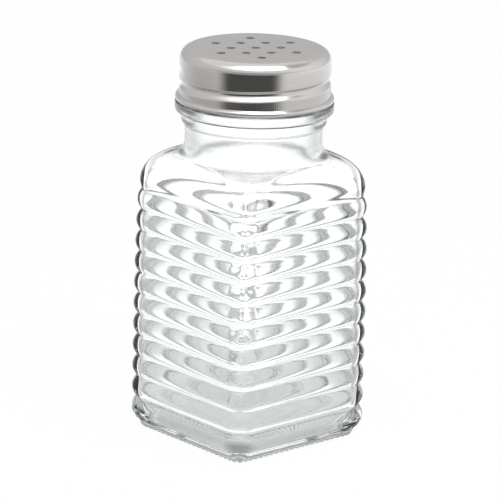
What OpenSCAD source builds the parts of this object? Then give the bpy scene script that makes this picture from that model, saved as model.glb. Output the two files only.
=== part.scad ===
// Square ribbed glass salt shaker with a perforated steel screw cap.
// Millimetres, +Z up. The jar stands on z = 0, centred on the z axis, with its flat sides
// square to x and y.

/* [Glass body] */
// Width across the crests of the ribs
body_w = 45.2; // [42:0.1:60]
// Corner radius at the crests of the ribs
corner_r = 5.7; // [5:0.1:8]
// Number of ribs
rib_count = 11; // [6:1:16]
// Height of one rib
rib_pitch = 5.5; // [4.5:0.1:7]
// Depth of the valleys between the ribs
rib_depth = 1.35; // [0.8:0.05:1.6]
// How far the top rib draws in towards the shoulder
top_draw = 0.6; // [0:0.1:0.8]
// Height of the plain heel under the ribs
heel_h = 2.5; // [2:0.1:5]
// How far the base is set in from the valleys
heel_inset = 0.5; // [0.2:0.1:1.4]
// How far the corners of the base are rounded off
heel_corner_cut = 1.3; // [0.8:0.1:2]
// Rounding of the bottom edge
heel_r = 0.6; // [0.3:0.1:1.2]
// Width of the flat rim that the jar stands on
rim_w = 3.6; // [2.5:0.1:6]
// Depth of the recess inside that rim
recess_depth = 0.8; // [0.4:0.1:1.5]
// Thickness of the glass between the valleys and the inside
wall = 2.3; // [1.6:0.1:3]
// Thickness of the glass floor
floor_t = 7; // [4:0.5:10]
// Corner radius of the inside
inner_corner_r = 5; // [3.5:0.5:8]
// Rounding between the floor and the inner walls
floor_fillet = 3; // [1:0.5:3.5]

/* [Shoulder and neck] */
// How far the shoulder's foot is set in from the valleys
shoulder_inset = 0.2; // [0:0.05:0.4]
// Plain upright stretch above the top rib
shoulder_rise = 0.8; // [0.5:0.1:4]
// Height of the domed shoulder
dome_h = 9.1; // [7:0.1:14]
// Height of the curve from the shoulder into the neck
neck_fillet = 5.5; // [3:0.1:8]
// Height of the neck between that curve and the glass ring
neck_h = 5.56; // [4:0.01:12]
// How far the neck widens from that curve up to the glass ring
neck_flare = 0.5; // [0.2:0.05:0.8]
// Height of the plain band under the glass ring
band_h = 2.2; // [1:0.1:3]
// How far that band stands out from the neck
band_over = 0.4; // [0.2:0.05:0.8]
// Height of the glass ring under the cap
ring_h = 2.8; // [2.2:0.1:5]
// Rounding of the glass ring
ring_edge_r = 1.1; // [0.6:0.05:1.1]
// How far the glass ring stands out past the cap's skirt
ring_over = 0.45; // [0.1:0.05:2]

/* [Threaded finish] */
// Height of the finish from the glass ring to the lip
finish_h = 12.2; // [11.5:0.1:18]
// Thickness of the glass at the lip
finish_wall = 2.15; // [1.8:0.05:3.5]
// Rounding of the lip
lip_r = 0.7; // [0.4:0.1:0.9]
// Rise of the thread in one turn
thread_pitch = 3.5; // [3.3:0.1:4]
// Length of the thread in turns
thread_turns = 1.25; // [0.75:0.05:1.5]
// Direction in which the thread starts, in degrees from +X
thread_start = -200; // [-360:5:360]
// Gap between the end of the glass thread and the lip
thread_to_lip = 1.7; // [1.5:0.1:3]
// Width of the glass thread at its crest
bead_w = 0.9; // [0.6:0.1:1]
// Play between the glass thread and the inside of the skirt
crest_play = 0.35; // [0.3:0.05:0.5]
// Play between the rolled thread and the glass under it
root_play = 0.4; // [0.3:0.05:0.6]

/* [Cap] */
// Diameter of the skirt
cap_d = 38.1; // [36:0.1:44]
// Thickness of the steel sheet
sheet = 0.5; // [0.4:0.05:0.6]
// Radius of the rounded top edge
cap_edge_r = 2.1; // [1.2:0.1:2.5]
// Thickness of the curled hem
curl_d = 1.5; // [1.2:0.1:2]
// How far the hem stands out past the skirt
curl_over = 0.95; // [0.7:0.05:1.1]
// Gap between the hem and the glass ring
curl_gap = 0.45; // [0.3:0.05:1.5]
// Depth of the rolled screw groove
groove_depth = 0.8; // [0.6:0.05:0.9]
// Width of the groove at its bottom
groove_w = 0.7; // [0.5:0.05:0.8]
// Diameter of a pour hole
hole_d = 2.3; // [1.5:0.1:3]
// Distance between neighbouring pour holes
hole_pitch = 6.3; // [4.5:0.1:7]
// Direction of the first pour hole, in degrees from +X
hole_turn = 56.5; // [0:0.1:60]

/* [Liner] */
// Thickness of the liner ring
liner_t = 1; // [0.8:0.05:1.5]
// How far the liner reaches in past the glass lip
liner_in = 0.6; // [0.2:0.1:1.5]
// Play between the liner and the inside of the skirt
liner_play = 0.3; // [0.2:0.05:0.6]

/* [Hidden] */
$fn = 64;

// Small overlap that lets joined shapes share volume
lap = 0.3;
// Steps in a quarter turn of a blended ring, along the dome, along a fillet, up the neck and
// in a turn of thread
ring_steps = 8;
dome_steps = 9;
fillet_steps = 6;
neck_steps = 4;
turn_steps = 60;
// Share of the thread's length over which each end fades out
thread_fade = 0.08;
// Exponents that give the shoulder its full dome and hold the draw to the upper ribs
dome_power = 3.2;
draw_power = 4;
// Share of the shoulder's inward run that the neck curve takes
fillet_share = 0.39;
// Half length of the short flats that keep a blended ring's points apart
least_flat = 0.2;
// Height of the liner's outer edge, under its chamfer
liner_edge = 0.15;

// Share of the dome's height that is left under the neck curve
dome_reach = pow(sin(acos(fillet_share)), 2 / dome_power);

// Heights of the glass, from the table up
ribs_z = heel_h;
shoulder_z = ribs_z + rib_count * rib_pitch;
dome_z = shoulder_z + shoulder_rise;
neck_z = dome_z + dome_h * dome_reach + neck_fillet;
ring_z = neck_z + neck_h;
band_z = ring_z - band_h;
ring_mid_z = ring_z + ring_h / 2;
finish_z = ring_z + ring_h;
lip_z = finish_z + finish_h;
// Heights of the cap
disc_z = lip_z + liner_t;
cap_top_z = disc_z + sheet;
curl_z = finish_z + curl_gap + curl_d / 2;
// Radii of the cap and of the finish that it screws on
skirt_r = cap_d / 2;
skirt_in_r = skirt_r - sheet;
ridge_r = skirt_in_r - groove_depth;
finish_r = ridge_r - root_play;
bead_r = skirt_in_r - crest_play;
bore_r = finish_r - finish_wall;
ring_r = skirt_r + ring_over;
neck_r = finish_r;
band_r = neck_r + neck_flare + band_over;
disc_r = skirt_r - cap_edge_r;
// Plan of the body: every outline is a square of corner centres and an offset from it
corner_c = body_w / 2 - corner_r;
valley_off = corner_r - rib_depth;
shoulder_off = valley_off - shoulder_inset;
base_off = valley_off - heel_inset;
shoulder_half = corner_c + shoulder_off;
// Distance of the corner centres from the axis
corner_reach = corner_c * sqrt(2);
// Plan of the inside
inner_half = shoulder_half - wall;
inner_c = inner_half - inner_corner_r;
inner_neck_r = bore_r - lap;
// Each rib is an arc over its own pitch
rib_arc_r = (rib_pitch * rib_pitch / 4 + rib_depth * rib_depth) / (2 * rib_depth);
// The cap's groove lies half a pitch under the glass thread
bead_z = lip_z - thread_to_lip - thread_turns * thread_pitch;
groove_z = bead_z - thread_pitch / 2;
// Slopes of the thread's sides: of the groove, in and out, and of the glass thread
groove_flare = 0.8;
bead_flare = 0.6;
// The groove shows inside the cap as a ridge, one sheet thickness wider
ridge_w = groove_w + sheet;

glass = [0.86, 0.93, 0.90, 0.45];
steel = [0.70, 0.69, 0.67];
liner_white = [0.93, 0.93, 0.91];

// One level of a blended shape: a square of corner centres with rounded corners
function level(c, r, z) = [
    for (q = [0:3], k = [0:ring_steps])
        let (a = 90 * q + 90 * k / ring_steps, m = 90 * q + 45)
            [c * sqrt(2) * cos(m) + r * cos(a), c * sqrt(2) * sin(m) + r * sin(a), z]
];

// A level between the round neck (s = 0) and the square body (s = 1)
function blend_level(s, z, half, c, round_r) =
    let (flat = max(c * s, least_flat))
        level(flat, round_r + (half - round_r) * s - flat, z);

// The dome's curve from the body to the neck, as pairs of share and height
function dome_curve(rise, fillet) =
    let (last = acos(fillet_share))
        concat(
            [for (k = [0:dome_steps])
                let (a = last * k / dome_steps)
                    [cos(a), rise * pow(sin(a), 2 / dome_power)]],
            [for (k = [1:fillet_steps])
                let (a = 90 * k / fillet_steps)
                    [fillet_share * (1 - sin(a)), rise * dome_reach + fillet * (1 - cos(a))]]
        );

// Solid through a stack of levels that all have the same number of points
module loft(levels) {
    n = len(levels[0]);
    rows = len(levels);
    sides = [
        for (i = [0:rows - 2], j = [0:n - 1])
            let (a = i * n + j, b = i * n + (j + 1) % n)
                each [[a, a + n, b], [b, a + n, b + n]]
    ];
    bottom = [for (j = [0:n - 1]) j];
    top = [for (j = [n - 1:-1:0]) (rows - 1) * n + j];
    polyhedron(points = [for (l = levels) each l], faces = concat(sides, [bottom, top]));
}

// How far the thread stands up at a share t of its length: it fades out at both ends
function thread_ramp(t) = min(1, min(t, 1 - t) / thread_fade);

// Tapered helical rail: root and tip radii, width at the tip and slope of its sides
module helix_rail(root_r, tip_r, faded_r, tip_w, flare, z) {
    steps = ceil(thread_turns * turn_steps);
    sections = [
        for (i = [0:steps])
            let (
                t = i / steps,
                a = thread_start + 360 * thread_turns * t,
                h = z + thread_pitch * thread_turns * t,
                r = faded_r + (tip_r - faded_r) * thread_ramp(t),
                w_tip = tip_w / 2,
                w_root = w_tip + flare * abs(root_r - tip_r)
            )
                [for (p = [[root_r, -w_root], [r, -w_tip], [r, w_tip], [root_r, w_root]])
                    [p[0] * cos(a), p[0] * sin(a), h + p[1]]]
    ];
    // A rail with its tip outside its root is wound the other way, so that it faces outwards
    out = tip_r > root_r;
    loft([for (s = sections) [for (k = [0:3]) s[out ? 3 - k : k]]]);
}

// Quarter disc in the corner between +X and +Y
module quarter(r) {
    intersection() {
        circle(r);
        square(r);
    }
}

// Filled outline of a turned shape with one rounded upper edge
module rounded_block(r, z0, z1, edge) {
    translate([0, z0])
        square([r - edge, z1 - z0]);
    translate([r - edge, z0])
        square([edge, z1 - edge - z0]);
    translate([r - edge, z1 - edge])
        quarter(edge);
}

// Square plate with rounded corners
module rounded_plate(half, r, z0, z1) {
    translate([0, 0, z0])
        linear_extrude(z1 - z0) {
            square([2 * half, 2 * (half - r)], center = true);
            square([2 * (half - r), 2 * half], center = true);
            for (q = [0:3])
                rotate(90 * q)
                    translate([half - r, half - r])
                        circle(r);
        }
}

// Section of the ribbed wall: x is the offset from the corner centres, y is the height
module wall_section() {
    intersection() {
        union() {
            for (i = [0:rib_count - 1]) {
                draw = top_draw * pow(i / (rib_count - 1), draw_power);
                translate([corner_r - draw - rib_arc_r, ribs_z + (i + 0.5) * rib_pitch])
                    circle(rib_arc_r);
            }
            translate([0, heel_h / 2])
                square([valley_off - top_draw - lap, shoulder_z - heel_h / 2]);
            heel_section();
        }
        square([corner_r + lap, shoulder_z]);
    }
}

// Section of the heel, from the rounded bottom edge up into the lowest rib
module heel_section() {
    polygon([
        [0, 0],
        [base_off - heel_r, 0],
        [base_off, heel_r],
        [valley_off, heel_h + lap],
        [0, heel_h + lap]
    ]);
    translate([base_off - heel_r, heel_r])
        circle(heel_r);
}

// Turned outline that rounds off the corners of the heel and leaves the ribs as they are
module heel_limit() {
    far_r = corner_reach + corner_r + lap;
    rotate_extrude()
        polygon([
            [0, 0],
            [corner_reach + base_off - heel_corner_cut, 0],
            [corner_reach + valley_off + lap / 2, heel_h],
            [far_r, heel_h + rib_pitch / 4],
            [far_r, shoulder_z],
            [0, shoulder_z]
        ]);
}

// Ribbed body, swept round the square of corner centres
module ribbed_body() {
    for (q = [0:3])
        rotate(90 * q) {
            translate([corner_c, corner_c, 0])
                rotate_extrude(angle = 90)
                    wall_section();
            translate([corner_c, 0, 0])
                rotate([90, 0, 0])
                    linear_extrude(2 * corner_c, center = true)
                        wall_section();
        }
    translate([-corner_c, -corner_c, 0])
        cube([2 * corner_c, 2 * corner_c, shoulder_z]);
}

// Shoulder and neck, from inside the top rib to inside the glass ring
module shoulder() {
    foot_z = shoulder_z - rib_pitch / 4;
    loft(concat(
        [blend_level(1, foot_z, shoulder_half, corner_c, neck_r)],
        [for (p = dome_curve(dome_h, neck_fillet))
            blend_level(p[0], dome_z + p[1], shoulder_half, corner_c, neck_r)],
        [for (k = [1:neck_steps])
            let (t = k / neck_steps)
                blend_level(0, neck_z + (ring_mid_z - neck_z) * t, shoulder_half, corner_c,
                            neck_r + neck_flare * t * t)]
    ));
}

// Glass ring with the band under it, threaded finish and lip, as one turned solid
module finish() {
    edge = min(ring_edge_r, ring_h / 2 - lap);
    rotate_extrude() {
        rounded_block(finish_r, ring_mid_z, lip_z, lip_r);
        translate([0, band_z])
            square([band_r, ring_mid_z - band_z]);
        translate([0, ring_z])
            square([ring_r - edge, ring_h]);
        translate([ring_r - edge, ring_z + edge])
            square([edge, ring_h - 2 * edge]);
        for (z = [ring_z + edge, finish_z - edge])
            translate([ring_r - edge, z])
                circle(edge);
    }
}

// Inside of the jar, from the floor to the lip
module jar_inside() {
    loft(concat(
        [for (k = [0:fillet_steps])
            let (
                a = 90 * k / fillet_steps,
                inset = floor_fillet * (1 - sin(a))
            )
                level(inner_c, inner_corner_r - inset, floor_t + floor_fillet * (1 - cos(a)))],
        [for (p = dome_curve(dome_h, neck_fillet))
            blend_level(p[0], dome_z - wall + p[1], inner_half, inner_c, inner_neck_r)],
        [blend_level(0, ring_mid_z, inner_half, inner_c, inner_neck_r)]
    ));
    translate([0, 0, ring_z])
        cylinder(h = lip_z - ring_z + lap, r = bore_r);
}

// Blown glass jar
module glass_jar() {
    base_half = corner_c + base_off;
    color(glass)
        difference() {
            union() {
                intersection() {
                    ribbed_body();
                    heel_limit();
                }
                shoulder();
                finish();
                helix_rail(finish_r - lap, bead_r, finish_r - lap / 2, bead_w, bead_flare, bead_z);
            }
            jar_inside();
            rounded_plate(base_half - rim_w, corner_r, -lap, recess_depth);
        }
}

// Soft ring between the lip and the cap, held in by the rolled thread
module cap_liner() {
    inside_r = bore_r - liner_in;
    outside_r = skirt_in_r - liner_play;
    color(liner_white)
        rotate_extrude()
            polygon([
                [inside_r, lip_z],
                [outside_r, lip_z],
                [outside_r, lip_z + liner_edge],
                [disc_r - liner_play / 2, disc_z],
                [inside_r, disc_z]
            ]);
}

// Sheet shell of the cap, with its hem, before the groove and the holes
module cap_shell() {
    rotate_extrude() {
        difference() {
            rounded_block(skirt_r, curl_z, cap_top_z, cap_edge_r);
            rounded_block(skirt_in_r, curl_z, disc_z, cap_edge_r - sheet);
        }
        translate([skirt_r + curl_over - curl_d / 2, curl_z])
            circle(d = curl_d);
    }
}

// Pour holes: one in the middle, six round it and six in the gaps outside those
module pour_holes() {
    spots = concat(
        [[0, 0]],
        [for (k = [0:5]) [hole_pitch, hole_turn + 60 * k]],
        [for (k = [0:5]) [hole_pitch * sqrt(3), hole_turn + 30 + 60 * k]]
    );
    for (s = spots)
        rotate(s[1])
            translate([s[0], 0, disc_z - lap])
                cylinder(h = sheet + 2 * lap, d = hole_d);
}

// Drawn steel cap with its rolled screw groove
module shaker_cap() {
    color(steel)
        difference() {
            union() {
                cap_shell();
                helix_rail(skirt_in_r + sheet / 2, ridge_r, skirt_in_r + sheet / 4,
                           ridge_w, groove_flare, groove_z);
            }
            helix_rail(skirt_r + lap, skirt_r - groove_depth, skirt_r + lap / 2,
                       groove_w, groove_flare, groove_z);
            pour_holes();
        }
}

glass_jar();
cap_liner();
shaker_cap();
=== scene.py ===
"""Square ribbed glass salt shaker with a perforated steel screw cap, dressed over its CAD frame."""

import math
from functools import partial
from types import SimpleNamespace
from typing import Callable, NamedTuple, Optional

import bpy
from bpy.props import FloatProperty, FloatVectorProperty, IntProperty, PointerProperty
from mathutils import Matrix, Vector, noise


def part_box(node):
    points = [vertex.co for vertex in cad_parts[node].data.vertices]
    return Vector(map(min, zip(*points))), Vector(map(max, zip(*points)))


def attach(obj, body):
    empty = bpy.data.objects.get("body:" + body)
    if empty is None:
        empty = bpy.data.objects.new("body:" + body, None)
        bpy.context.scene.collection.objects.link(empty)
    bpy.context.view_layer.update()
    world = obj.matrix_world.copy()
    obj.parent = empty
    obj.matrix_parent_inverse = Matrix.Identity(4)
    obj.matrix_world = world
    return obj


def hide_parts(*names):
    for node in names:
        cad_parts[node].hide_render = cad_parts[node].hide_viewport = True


bl_info = {
    "name": "Ribbed glass salt shaker",
    "version": (1, 0, 0),
    "blender": (4, 5, 0),
    "location": "View3D > Sidebar > Shaker",
    "description": "Builds a square ribbed glass salt shaker with a perforated steel screw cap",
    "category": "Object",
}

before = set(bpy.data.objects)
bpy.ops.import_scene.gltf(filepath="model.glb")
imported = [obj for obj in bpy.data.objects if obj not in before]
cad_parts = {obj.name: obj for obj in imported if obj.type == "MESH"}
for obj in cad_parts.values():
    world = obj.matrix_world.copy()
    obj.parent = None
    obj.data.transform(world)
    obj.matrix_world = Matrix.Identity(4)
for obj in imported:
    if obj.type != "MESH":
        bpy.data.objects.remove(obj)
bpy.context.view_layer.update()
jar_low, jar_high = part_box("glass_jar")
cap_low, cap_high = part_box("shaker_cap")

MM = 0.001


def number(label, value, words, **kind):
    """A plain number."""
    return FloatProperty(name=label, description=words, default=value, **kind)


def length(label, millimetres, words):
    """A length in metres whose default is written in millimetres."""
    kind = {"precision": 5, "subtype": "DISTANCE", "unit": "LENGTH"}
    return number(label, millimetres * MM, words, min=0.0, **kind)


def share(label, value, words):
    """A plain number between 0 and 1."""
    return number(label, value, words, min=0.0, max=1.0, subtype="FACTOR")


def turn(label, degrees, words):
    """An angle whose default is written in degrees."""
    return number(label, math.radians(degrees), words, subtype="ANGLE", unit="ROTATION")


def tint(label, colour, words):
    """A colour of a finish."""
    kind = {"size": 4, "min": 0.0, "max": 1.0, "subtype": "COLOR"}
    return FloatVectorProperty(name=label, description=words, default=(*colour, 1.0), **kind)


def sides(label, front, right, back, left, words):
    """Brightness of the surroundings on four sides, as the camera sees them."""
    levels = (front, right, back, left)
    return FloatVectorProperty(name=label, description=words, default=levels, size=4, min=0.0)


class JarSizes(bpy.types.PropertyGroup):
    """Sizes of the glass jar."""

    body_width: length("Body width", (jar_high.x - jar_low.x) / MM, "Width across the rib crests")
    corner_radius: length("Corner radius", 5.7, "Corner radius at the rib crests")
    rib_count: IntProperty(name="Ribs", description="Number of ribs", default=11, min=1, max=30)
    rib_pitch: length("Rib pitch", 5.5, "Height of one rib")
    rib_depth: length("Rib depth", 1.35, "Depth of the valleys between the ribs")
    top_draw: length("Top draw", 0.6, "How far the top rib draws in towards the shoulder")
    heel_height: length("Heel height", 2.5, "Height of the plain heel under the ribs")
    heel_inset: length("Heel inset", 0.5, "How far the base is set in from the valleys")
    heel_corner_cut: length("Heel corner cut", 0.8, "How far the base corners are rounded off")
    heel_point: number("Heel point", 2.0, "How pointed the base is at the seam", min=0.0)
    heel_rounding: length("Heel rounding", 1.0, "Rounding of the bottom edge")
    rim_width: length("Rim width", 3.6, "Width of the rim that the jar stands on")
    recess_depth: length("Recess depth", 0.8, "Depth of the recess inside the rim")
    bar_pitch: length("Bar pitch", 1.7, "Distance between the moulded bars under the rim")
    bar_height: length("Bar height", 0.42, "Height of the moulded bars under the rim")
    valley_fill: length("Valley fill", 0.25, "How far the bottom of a valley is filled")
    valley_soft: length("Valley softness", 0.7, "How softly a valley is rounded")
    inner_wave: length("Inner wave", 0.5, "Height of the waves inside, opposite the ribs")
    inner_warp: length("Inner warp", 0.25, "Unevenness of the corners inside")
    wall: length("Wall", 1.6, "Thickness of the glass between the valleys and the inside")
    crown: length("Crown", 1.15, "Height of the glass on top of the shoulder")
    floor_thickness: length("Floor thickness", 3.2, "Thickness of the glass floor")
    inner_corner: length("Inner corner", 2.9, "Corner radius of the inside")
    floor_fillet: length("Floor fillet", 4.5, "Rounding between the floor and the inner walls")
    floor_corner: length("Floor corner", 4.5, "Corner radius of the inner floor")
    shoulder_inset: length("Shoulder inset", 0.2, "How far the shoulder's foot is set in")
    shoulder_rise: length("Shoulder rise", 0.8, "Plain upright stretch above the top rib")
    shoulder_bulge: length("Shoulder bulge", 0.42, "How far the shoulder swells over the top rib")
    dome_height: length("Dome height", 9.1, "Height of the domed shoulder")
    neck_fillet: length("Neck fillet", 4.0, "Height of the curve from the shoulder to the neck")
    fillet_foot: share("Fillet foot", 0.22, "Where on the shoulder that curve starts")
    inner_fillet: length("Inner fillet", 5.5, "Height of that curve inside")
    inner_foot: share("Inner foot", 0.39, "Where on the shoulder that curve starts inside")
    ring_rise: length("Ring rise", 20.0, "Height of the glass ring above the shoulder's foot")
    neck_flare: length("Neck flare", 0.5, "How far the neck widens up to the glass ring")
    band_height: length("Band height", 2.5, "Height of the plain band under the glass ring")
    band_over: length("Band overhang", 0.4, "How far that band stands out from the neck")
    ring_height: length("Ring height", 2.8, "Height of the glass ring under the cap")
    ring_rounding: length("Ring rounding", 1.1, "Rounding of the glass ring's lower edge")
    ring_radius: length("Ring radius", 20.0, "Radius of the glass ring")
    finish_radius: length("Finish radius", 17.35, "Radius of the threaded finish and the neck")
    bore_radius: length("Bore radius", 15.2, "Radius of the mouth")
    lip_rounding: length("Lip rounding", 0.7, "Rounding of the lip")
    seam_rise: length("Seam rise", 0.07, "Height of the mould seam on two corners")
    bead_rise: length("Bead rise", 0.85, "How far the glass thread stands out")


class CapSizes(bpy.types.PropertyGroup):
    """Sizes of the steel cap and of the liner in it."""

    skirt_radius: length("Skirt radius", 19.05, "Radius of the skirt")
    sheet: length("Sheet", 0.5, "Thickness of the steel sheet")
    edge_radius: length("Edge radius", 2.7, "Radius of the rounded top edge")
    inner_edge: length("Inner edge", 1.6, "Radius of that edge inside")
    curl_width: length("Curl", 1.5, "Thickness of the curled hem")
    curl_over: length("Curl overhang", 0.95, "How far the hem stands out past the skirt")
    groove_depth: length("Groove depth", 0.8, "Depth of the rolled screw groove")
    thread_pitch: length("Thread pitch", 3.5, "Rise of the thread in one turn")
    thread_turns: number("Thread turns", 1.25, "Length of the thread in turns", min=0.5)
    thread_start: turn("Thread start", -200.0, "Direction in which the thread starts")
    groove_height: length("Groove height", 90.675, "Height at which the groove starts")
    bead_height: length("Bead height", 92.425, "Height at which the glass thread starts")
    hole_width: length("Hole width", 2.3, "Diameter of a pour hole")
    hole_pitch: length("Hole pitch", 6.3, "Distance between neighbouring pour holes")
    hole_turn: turn("Hole turn", 56.5, "Direction of the first pour hole")
    knurl_count: IntProperty(
        name="Knurl bars", description="Number of fine bars round the skirt", default=212, min=12
    )
    knurl_radius: length("Knurl radius", 0.2, "Radius of one fine bar")
    knurl_rise: length("Knurl rise", 0.02, "How far a fine bar stands out")
    liner_inner: length("Liner inner radius", 14.6, "Inner radius of the liner ring")
    liner_outer: length("Liner outer radius", 18.25, "Outer radius of the liner ring")
    liner_top: length("Liner top radius", 16.8, "Outer radius of the liner's upper face")
    liner_edge: length("Liner edge", 0.15, "Height of the liner's outer edge")


class Finishes(bpy.types.PropertyGroup):
    """Colours of the finishes."""

    glass_clear: tint("Clear glass", (0.9985, 1.0, 1.0), "Clear part of the glass")
    glass_shade: tint("Shaded glass", (0.983, 0.99, 0.99), "Slightly greener streaks")
    glass_depth: tint("Glass depth", (0.845, 0.89, 0.86), "What thick glass lets through")
    steel_light: tint("Bright steel", (0.74, 0.722, 0.705), "Brighter lines of the steel")
    steel_dark: tint("Dull steel", (0.67, 0.65, 0.635), "Duller lines of the steel")
    # The darker colour of the hole walls and the cap's inside is painted shade on real steel.
    steel_cut_and_shade: tint("Punched steel", (0.5, 0.49, 0.48), "Walls of the holes and the inside")
    liner_pale: tint("Pale liner", (0.9, 0.9, 0.88), "Colour of the liner")
    liner_dull: tint("Dull liner", (0.8, 0.8, 0.775), "Slightly soiled places of the liner")


class StageSettings(bpy.types.PropertyGroup):
    """Camera, light and background."""

    camera_turn: turn("Camera turn", 48.56, "Direction of the camera round the shaker")
    camera_tilt: turn("Camera tilt", 15.93, "Height of the camera above the horizon")
    camera_roll: turn("Camera roll", 1.46, "How far the camera is rolled")
    camera_distance: length("Camera distance", 975.8, "Distance of the camera")
    aim_height: length("Aim height", 47.53, "Height that the camera looks at")
    aim_side: number("Aim side", -0.19 * MM, "How far right of the axis it looks", unit="LENGTH")
    lens: number("Lens", 277.5, "Focal length in millimetres", min=1.0)
    ambient: share("Ambient", 0.44, "Plain light from all sides")
    glass_low: sides("Glass, low", 1.6, 0.2, 1.04, 0.24, "Low surroundings that the glass shows")
    glass_mid: sides("Glass, middle", 2.0, 2.08, 1.28, 1.44, "Softboxes that the glass shows")
    glass_high: sides("Glass, high", 1.6, 0.96, 0.64, 0.64, "Ceiling that the glass shows")
    glass_close: sides("Glass, floor", 1.6, 0.35, 0.66, 0.38, "Floor that the glass shows")
    glass_far: sides("Glass, far floor", 1.6, 0.35, 1.35, 0.4, "Far floor that the glass shows")
    glass_near: sides("Glass, near", 0.72, 0.72, 0.72, 0.72, "Near floor that the glass shows")
    dim_tint: tint("Dim tint", (0.9, 1.0, 0.83), "Tint of what looks dark in the glass")
    bright_tint: tint("Bright tint", (0.98, 0.995, 1.0), "Tint of what looks bright in the glass")
    steel_low: sides("Steel, low", 0.34, 0.88, 0.56, 0.66, "Low surroundings that the steel shows")
    steel_mid: sides("Steel, middle", 0.76, 0.92, 0.61, 0.69, "Softboxes that the steel shows")
    steel_high: sides("Steel, high", 2.4, 0.48, 0.92, 0.84, "Ceiling that the steel shows")
    steel_close: sides("Steel, floor", 0.75, 0.58, 1.0, 0.42, "Floor that the steel shows")
    steel_far: sides("Steel, far floor", 0.75, 0.97, 1.03, 0.595, "Far floor that the steel shows")
    steel_near: sides("Steel, near", 0.95, 0.55, 0.7, 0.42, "Near floor that the steel shows")
    room_start: turn("Room start", -60.0, "Where the dark room in front starts, from the front")
    room_end: turn("Room end", 47.0, "Where the dark room in front ends, from the front")
    room_soft: turn("Room softness", 21.0, "How softly the dark room starts and ends")
    room_distance: length("Room distance", 330.0, "How far away the dark room in front starts")
    room_tone: share("Room tone", 0.075, "Brightness of the dark room in front")


class ShakerSettings(bpy.types.PropertyGroup):
    """All settings of the shaker."""

    jar: PointerProperty(type=JarSizes)
    cap: PointerProperty(type=CapSizes)
    finish: PointerProperty(type=Finishes)
    stage: PointerProperty(type=StageSettings)


# Node helpers

NODE_STEP = 220  # distance between nodes in the editor


def feed(tree, node, inputs):
    """Feeds a node's inputs with values or links."""
    for key, value in inputs.items():
        if isinstance(value, bpy.types.NodeSocket):
            tree.links.new(value, node.inputs[key])
        else:
            node.inputs[key].default_value = value


def add_node(tree, kind, inputs=None, **settings):
    """Adds a node, sets it up and feeds its inputs."""
    node = tree.nodes.new(kind)
    node.location = (NODE_STEP * len(tree.nodes), 0)
    for key, value in settings.items():
        setattr(node, key, value)
    feed(tree, node, inputs or {})
    return node


def result(tree, kind, inputs=None, **settings):
    """First output of a new node."""
    return add_node(tree, kind, inputs, **settings).outputs[0]


def math_node(tree, operation, *values):
    """Result of a Math node."""
    return result(tree, "ShaderNodeMath", dict(enumerate(values)), operation=operation)


def vector_node(tree, operation, *values, output="Vector"):
    """Result of a Vector Math node."""
    inputs = dict(enumerate(values))
    return add_node(tree, "ShaderNodeVectorMath", inputs, operation=operation).outputs[output]


def ranged(tree, value, low, high, start=0.0, end=1.0, kind="LINEAR"):
    """Value that goes from start to end while another one goes from low to high."""
    inputs = {"Value": value, "From Min": low, "From Max": high, "To Min": start, "To Max": end}
    return result(tree, "ShaderNodeMapRange", inputs, interpolation_type=kind)


def joined(tree, **parts):
    """Vector from its parts X, Y and Z."""
    return result(tree, "ShaderNodeCombineXYZ", parts)


def split(tree, vector):
    """Parts X, Y and Z of a vector."""
    return add_node(tree, "ShaderNodeSeparateXYZ", {"Vector": vector}).outputs


def new_group(name, kind, inputs, outputs):
    """Node group with the named sockets and their types, and what its input node gives."""
    tree = bpy.data.node_groups.new(name, kind)
    for way, sockets in (("OUTPUT", outputs), ("INPUT", inputs)):
        for label, socket in sockets.items():
            tree.interface.new_socket(label, in_out=way, socket_type="NodeSocket" + socket)
    return tree, add_node(tree, "NodeGroupInput").outputs


def new_tree(name, *sizes, counts=()):
    """Geometry tree that takes in a mesh, the named counts and sizes and a material."""
    inputs = {"Geometry": "Geometry", **dict.fromkeys(counts, "Int")}
    inputs.update(dict.fromkeys(sizes, "Float"), Material="Material")
    tree, given = new_group(name, "GeometryNodeTree", inputs, {"Geometry": "Geometry"})
    tree.is_modifier = True
    return tree, given


def end_tree(tree, geometry, material):
    """Closes a geometry tree with Realize Instances and Set Material."""
    real = result(tree, "GeometryNodeRealizeInstances", {"Geometry": geometry})
    dressed = result(tree, "GeometryNodeSetMaterial", {"Geometry": real, "Material": material})
    add_node(tree, "NodeGroupOutput", {"Geometry": dressed})


def run_tree(obj, tree, values):
    """Runs a geometry tree on an object and leaves the result as its plain mesh."""
    modifier = obj.modifiers.new(tree.name, "NODES")
    modifier.node_group = tree
    for item in tree.interface.items_tree:
        if item.in_out == "INPUT" and item.name in values:
            modifier[item.identifier] = values[item.name]
    bpy.context.view_layer.update()
    graph = bpy.context.evaluated_depsgraph_get()
    mesh = bpy.data.meshes.new_from_object(obj.evaluated_get(graph), depsgraph=graph)
    if not mesh.polygons:
        raise RuntimeError(f"the tree {tree.name} made no faces on {obj.name}")
    old = obj.data
    obj.modifiers.remove(modifier)
    obj.data = mesh
    mesh.name = obj.name
    bpy.data.meshes.remove(old)


# Mesh helpers


def new_object(name, points, faces):
    """Object at the origin with a mesh of the given points and faces."""
    mesh = bpy.data.meshes.new(name)
    mesh.from_pydata(points, [], faces)
    if mesh.validate():
        raise RuntimeError(f"the mesh of {name} has faulty faces")
    obj = bpy.data.objects.new(name, mesh)
    bpy.context.scene.collection.objects.link(obj)
    return obj


def smooth_shading(obj, degrees):
    """Smooth shading, with the edges sharper than the angle kept crisp."""
    obj.data.shade_smooth()
    obj.data.set_sharp_from_angle(angle=math.radians(degrees))


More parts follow.
